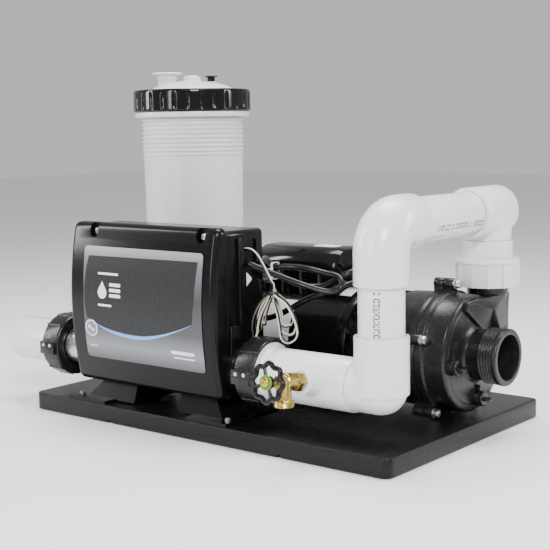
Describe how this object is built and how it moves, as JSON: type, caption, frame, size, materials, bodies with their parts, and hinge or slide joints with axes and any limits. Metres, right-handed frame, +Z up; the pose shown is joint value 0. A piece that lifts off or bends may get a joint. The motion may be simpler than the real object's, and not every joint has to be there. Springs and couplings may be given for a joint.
{
  "type": "spa equipment pack",
  "caption": "Spa equipment pack: circulation pump, tube heater with controller box and cartridge filter, joined by white PVC plumbing on a flat black tray.",
  "frame": {"origin": "middle of the tray's underside, where it stands on the floor", "axes": "+X along the tray's front edge towards the plumbing and pump end, +Y from the controller box towards the pump, +Z up"},
  "size_m": [0.771, 0.4742, 0.5225],
  "materials": {
    "tray_plastic": "black moulded plastic, low gloss, fine texture",
    "black_plastic": "black moulded plastic, satin to gloss",
    "filled_plastic": "black glass-filled plastic, slightly mottled",
    "motor_paint": "gloss black enamel on steel",
    "pvc": "white PVC, low gloss",
    "filter_plastic": "grey-white moulded plastic, satin",
    "steel": "brushed or plated steel",
    "brass": "plain brass, slightly dull",
    "rubber": "black rubber",
    "cable_black": "black cable sheath, satin",
    "cable_cream": "cream twin cable sheath, tied in a hank",
    "overlay": "printed silver and dark overlay",
    "board": "green circuit board",
    "core_steel": "laminated core with windings",
    "filter_media": "white pleated filter fabric"
  },
  "bodies": {
    "base": {"base_tray": "tray_plastic", "heater_foot_left": "black_plastic", "heater_foot_right": "black_plastic", "controller_housing": "black_plastic", "terminal_cover": "black_plastic", "volute_front": "filled_plastic", "volute_rear": "filled_plastic", "motor_shell": "motor_paint", "motor_end_cap": "motor_paint", "motor_foot": "motor_paint", "left_tailpiece": "pvc", "tee_body": "pvc", "lower_elbow": "pvc", "riser_pipe": "pvc", "upper_elbow": "pvc", "crossover_pipe": "pvc", "down_elbow": "pvc", "union_tailpiece": "pvc", "zip_tie": "pvc", "filter_canister": "filter_plastic", "foot_screw_left": "steel", "foot_screw_right": "steel", "heater_tube": "steel", "heater_element": "steel", "volute_bolt_top": "steel", "volute_bolt_front": "steel", "volute_bolt_low_front": "steel", "volute_bolt_low_back": "steel", "valve_body": "brass", "tube_gasket_left": "rubber", "tube_gasket_right": "rubber", "pump_lead_upper": "cable_black", "pump_lead_lower": "cable_black", "sensor_lead": "cable_cream", "sensor_lead_hank": "cable_cream", "circuit_board": "board", "transformer": "core_steel", "stator_core": "core_steel"},
    "cover": {"controller_cover": "black_plastic", "cover_screw_left": "steel", "cover_screw_right": "steel", "front_label": "overlay"},
    "rotor": {"motor_rotor": "steel", "impeller": "black_plastic"},
    "stem": {"valve_stem": "brass"},
    "wheel": {"handwheel": "black_plastic", "handwheel_screw": "brass"},
    "union_ring": {"union_nut": "pvc"},
    "nut_left": {"split_nut_left_upper": "filled_plastic", "split_nut_left_lower": "filled_plastic"},
    "nut_right": {"split_nut_right_upper": "filled_plastic", "split_nut_right_lower": "filled_plastic"},
    "plug_side": {"drain_plug_side": "filled_plastic"},
    "plug_lower": {"drain_plug_lower": "filled_plastic"},
    "lid": {"filter_lid": "filter_plastic", "lid_oring": "rubber"},
    "ring": {"lock_ring": "black_plastic"},
    "port_cap": {"lid_port_cap": "filter_plastic"},
    "relief": {"air_relief": "black_plastic"},
    "cartridge": {"filter_cartridge": "filter_media"}
  },
  "joints": [
    {"name": "cover_tilt", "type": "hinge", "parent": "base", "child": "cover", "pos_m": [0, -0.172, 0.0567], "axis": [1, 0, 0], "range_deg": [0, 35]},
    {"name": "rotor_spin", "type": "hinge", "parent": "base", "child": "rotor", "pos_m": [0, 0.058, 0.1135], "axis": [1, 0, 0], "continuous": true},
    {"name": "stem_rise", "type": "slide", "parent": "base", "child": "stem", "axis": [0, -0.9877, 0.1564], "range_m": [0, 0.00601]},
    {"name": "handwheel_turn", "type": "hinge", "parent": "stem", "child": "wheel", "pos_m": [0.193, -0.26398, 0.11632], "axis": [0, -0.9877, 0.1564], "range_deg": [0, 1080]},
    {"name": "union_nut_turn", "type": "hinge", "parent": "base", "child": "union_ring", "pos_m": [0.281, 0.132, 0.2205], "axis": [0, 0, 1], "range_deg": [0, 900]},
    {"name": "nut_left_turn", "type": "hinge", "parent": "base", "child": "nut_left", "pos_m": [-0.31, -0.142, 0.097], "axis": [-1, 0, 0], "range_deg": [0, 900]},
    {"name": "nut_right_turn", "type": "hinge", "parent": "base", "child": "nut_right", "pos_m": [0.09, -0.142, 0.097], "axis": [1, 0, 0], "range_deg": [0, 900]},
    {"name": "plug_side_turn", "type": "hinge", "parent": "base", "child": "plug_side", "pos_m": [0.31, -0.006, 0.1045], "axis": [1, 0, 0], "range_deg": [0, 720]},
    {"name": "plug_lower_turn", "type": "hinge", "parent": "base", "child": "plug_lower", "pos_m": [0.31, 0.0645, 0.0495], "axis": [1, 0, 0], "range_deg": [0, 720]},
    {"name": "lid_lift", "type": "slide", "parent": "base", "child": "lid", "axis": [0, 0, 1], "range_m": [0, 0.25]},
    {"name": "lock_ring_turn", "type": "hinge", "parent": "lid", "child": "ring", "pos_m": [-0.2305, 0.068, 0.475], "axis": [0, 0, 1], "range_deg": [0, 720]},
    {"name": "port_cap_turn", "type": "hinge", "parent": "lid", "child": "port_cap", "pos_m": [-0.2615, 0.043, 0.52], "axis": [0, 0, 1], "range_deg": [0, 720]},
    {"name": "air_relief_turn", "type": "hinge", "parent": "lid", "child": "relief", "pos_m": [-0.206, 0.088, 0.515], "axis": [0, 0, 1], "range_deg": [0, 540]},
    {"name": "cartridge_lift", "type": "slide", "parent": "base", "child": "cartridge", "axis": [0, 0, 1], "range_m": [0, 0.2]}
  ],
  "couplings": [
    {"joint": "stem_rise", "follows": "handwheel_turn", "m_per_rad": 0.00031831},
    {"joint": "cartridge_lift", "follows": "lid_lift", "ratio": 0.8}
  ]
}
